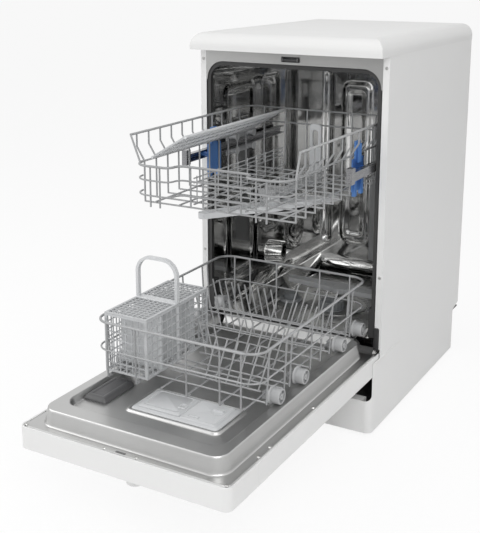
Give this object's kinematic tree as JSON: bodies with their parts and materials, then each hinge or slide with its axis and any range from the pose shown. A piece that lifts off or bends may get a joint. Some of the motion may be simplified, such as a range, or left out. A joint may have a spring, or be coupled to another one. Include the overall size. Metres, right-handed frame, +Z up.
{
  "type": "slimline dishwasher",
  "caption": "Free-standing slimline dishwasher with an open drop-down door, a steel tub, drawn-out wire racks, a cutlery basket and spray arms.",
  "frame": {"origin": "bottom centre of the bounding box with the door open and both racks drawn out", "axes": "+Z up, +Y from the open door towards the cabinet's back, +X to the right of a person who stands in front of it"},
  "size_m": [0.45, 1.192, 0.85],
  "materials": {
    "white_steel": "smooth white powder coat",
    "worktop": "fine grained white moulding",
    "control_plastic": "smooth white moulding",
    "zinc_steel": "galvanised sheet",
    "stainless": "brushed stainless sheet",
    "hinge_steel": "pressed zinc plated steel",
    "spring_steel": "drawn spring wire",
    "screw_steel": "polished screw heads",
    "coated_wire": "thick grey nylon coating on wire",
    "basket_plastic": "light grey moulded grid",
    "light_plastic": "light grey moulding",
    "filter_plastic": "grey moulding with fine mesh",
    "wheel_plastic": "light grey moulding",
    "adjuster_plastic": "blue moulding",
    "rail_steel": "rolled steel rail",
    "dark_plastic": "dark grey moulding",
    "base_plastic": "black moulding",
    "seal_rubber": "black seal",
    "pump_plastic": "grey filled moulding",
    "softener_plastic": "natural moulding",
    "ballast": "cast concrete block",
    "circuit": "green circuit board"
  },
  "bodies": {
    "cabinet": {"side_panel_left": "white_steel", "side_panel_right": "white_steel", "top_cover": "worktop", "rear_panel": "zinc_steel", "base_tray": "base_plastic", "plinth": "white_steel", "feet": "base_plastic", "front_frame": "stainless", "cabinet_screws": "screw_steel", "tub": "stainless", "tub_gasket": "seal_rubber", "latch_striker": "dark_plastic", "rail_rollers": "light_plastic", "spray_dock": "light_plastic", "sump": "base_plastic", "filter_plate": "stainless", "circulation_pump": "pump_plastic", "drain_pump": "pump_plastic", "inlet_valve": "light_plastic", "softener": "softener_plastic", "counterweight": "ballast", "hinge_brackets": "hinge_steel", "door_springs": "spring_steel"},
    "door": {"door_panel": "white_steel", "control_panel": "control_plastic", "door_liner": "stainless", "door_screws": "screw_steel", "control_board": "circuit", "dispenser_body": "light_plastic", "vent_cover": "dark_plastic", "hinge_arms": "hinge_steel"},
    "programme_knob": {"programme_knob": "control_plastic"},
    "power_button": {"power_button": "control_plastic"},
    "start_button": {"start_button": "control_plastic"},
    "door_latch": {"door_latch": "dark_plastic"},
    "dispenser_lid": {"dispenser_lid": "light_plastic"},
    "rinse_cap": {"rinse_cap": "light_plastic"},
    "lower_rack": {"lower_floor": "coated_wire", "lower_side_walls": "coated_wire", "lower_end_walls": "coated_wire", "lower_tines": "coated_wire"},
    "wheel_pair_1": {"wheel_pair_1": "wheel_plastic"},
    "wheel_pair_2": {"wheel_pair_2": "wheel_plastic"},
    "wheel_pair_3": {"wheel_pair_3": "wheel_plastic"},
    "wheel_pair_4": {"wheel_pair_4": "wheel_plastic"},
    "cutlery_basket": {"cutlery_basket": "basket_plastic"},
    "basket_lid_front": {"basket_lid_front": "basket_plastic"},
    "basket_lid_rear": {"basket_lid_rear": "basket_plastic"},
    "lower_spray_arm": {"lower_spray_arm": "light_plastic"},
    "filter_cup": {"filter_cup": "filter_plastic"},
    "salt_cap": {"salt_cap": "filter_plastic"},
    "upper_carriage": {"height_adjusters": "adjuster_plastic"},
    "upper_rails": {"upper_rails": "rail_steel"},
    "upper_rack": {"upper_floor": "coated_wire", "upper_side_walls": "coated_wire", "upper_end_walls": "coated_wire", "upper_tines": "coated_wire", "spray_feed_tube": "light_plastic"},
    "cup_shelf": {"cup_shelf": "basket_plastic"},
    "upper_spray_arm": {"upper_spray_arm": "light_plastic"}
  },
  "joints": [
    {"name": "door_hinge", "type": "hinge", "parent": "cabinet", "child": "door", "pos_m": [0, 0.0375, 0.176], "axis": [-1, 0, 0], "range_deg": [0, 9]},
    {"name": "programme_knob_turn", "type": "hinge", "parent": "door", "child": "programme_knob", "pos_m": [0.019, -0.57, 0.134], "axis": [0, 0, 1], "continuous": true},
    {"name": "power_button_press", "type": "slide", "parent": "door", "child": "power_button", "axis": [0, 0, 1], "range_m": [0, 0.002], "stiffness_N_per_m": 400},
    {"name": "start_button_press", "type": "slide", "parent": "door", "child": "start_button", "axis": [0, 0, 1], "range_m": [0, 0.002], "stiffness_N_per_m": 400},
    {"name": "door_latch_slide", "type": "slide", "parent": "door", "child": "door_latch", "axis": [0, 1, 0], "range_m": [0, 0.0035], "stiffness_N_per_m": 600},
    {"name": "dispenser_lid_slide", "type": "slide", "parent": "door", "child": "dispenser_lid", "axis": [-1, 0, 0], "range_m": [0, 0.05]},
    {"name": "rinse_cap_turn", "type": "hinge", "parent": "door", "child": "rinse_cap", "pos_m": [0.094, -0.416, 0.2], "axis": [0, 0, 1], "range_deg": [0, 90]},
    {"name": "lower_rack_slide", "type": "slide", "parent": "door", "child": "lower_rack", "axis": [0, -1, 0], "range_m": [-0.49, 0]},
    {"name": "wheel_pair_1_roll", "type": "hinge", "parent": "lower_rack", "child": "wheel_pair_1", "pos_m": [0, -0.34, 0.2232], "axis": [1, 0, 0], "range_deg": [-1910, 60]},
    {"name": "wheel_pair_2_roll", "type": "hinge", "parent": "lower_rack", "child": "wheel_pair_2", "pos_m": [0, -0.24, 0.2232], "axis": [1, 0, 0], "range_deg": [-1910, 60]},
    {"name": "wheel_pair_3_roll", "type": "hinge", "parent": "lower_rack", "child": "wheel_pair_3", "pos_m": [0, -0.06, 0.2232], "axis": [1, 0, 0], "range_deg": [-1910, 60]},
    {"name": "wheel_pair_4_roll", "type": "hinge", "parent": "lower_rack", "child": "wheel_pair_4", "pos_m": [0, 0.04, 0.2232], "axis": [1, 0, 0], "range_deg": [-1910, 60]},
    {"name": "cutlery_basket_lift", "type": "slide", "parent": "lower_rack", "child": "cutlery_basket", "axis": [0, 0, -1], "range_m": [-0.05, 0]},
    {"name": "basket_lid_front_hinge", "type": "hinge", "parent": "cutlery_basket", "child": "basket_lid_front", "pos_m": [-0.112, -0.3127, 0.3476], "axis": [-1, 0, 0], "range_deg": [0, 75]},
    {"name": "basket_lid_rear_hinge", "type": "hinge", "parent": "cutlery_basket", "child": "basket_lid_rear", "pos_m": [-0.112, -0.2993, 0.3476], "axis": [1, 0, 0], "range_deg": [0, 75]},
    {"name": "lower_spray_arm_spin", "type": "hinge", "parent": "cabinet", "child": "lower_spray_arm", "pos_m": [0, 0.34, 0.19], "axis": [0, 0, 1], "continuous": true},
    {"name": "filter_cup_turn", "type": "hinge", "parent": "cabinet", "child": "filter_cup", "pos_m": [0, 0.284, 0.17], "axis": [0, 0, 1], "range_deg": [0, 90]},
    {"name": "salt_cap_turn", "type": "hinge", "parent": "cabinet", "child": "salt_cap", "pos_m": [-0.118, 0.29, 0.17], "axis": [0, 0, 1], "range_deg": [0, 720]},
    {"name": "upper_carriage_slide", "type": "slide", "parent": "cabinet", "child": "upper_carriage", "axis": [0, -1, 0], "range_m": [-0.365, 0]},
    {"name": "upper_rails_slide", "type": "slide", "parent": "cabinet", "child": "upper_rails", "axis": [0, -1, 0], "range_m": [-0.1825, 0]},
    {"name": "upper_rack_height", "type": "slide", "parent": "upper_carriage", "child": "upper_rack", "axis": [0, 0, 1], "range_m": [0, 0.04]},
    {"name": "cup_shelf_fold", "type": "hinge", "parent": "upper_rack", "child": "cup_shelf", "pos_m": [-0.1635, -0.029, 0.6175], "axis": [0, -1, 0], "range_deg": [0, 55]},
    {"name": "upper_spray_arm_spin", "type": "hinge", "parent": "upper_rack", "child": "upper_spray_arm", "pos_m": [0, -0.04, 0.494], "axis": [0, 0, 1], "continuous": true}
  ],
  "couplings": [
    {"joint": "wheel_pair_1_roll", "follows": "lower_rack_slide", "rad_per_m": 66.667},
    {"joint": "wheel_pair_2_roll", "follows": "lower_rack_slide", "rad_per_m": 66.667},
    {"joint": "wheel_pair_3_roll", "follows": "lower_rack_slide", "rad_per_m": 66.667},
    {"joint": "wheel_pair_4_roll", "follows": "lower_rack_slide", "rad_per_m": 66.667},
    {"joint": "upper_rails_slide", "follows": "upper_carriage_slide", "ratio": 0.5}
  ]
}
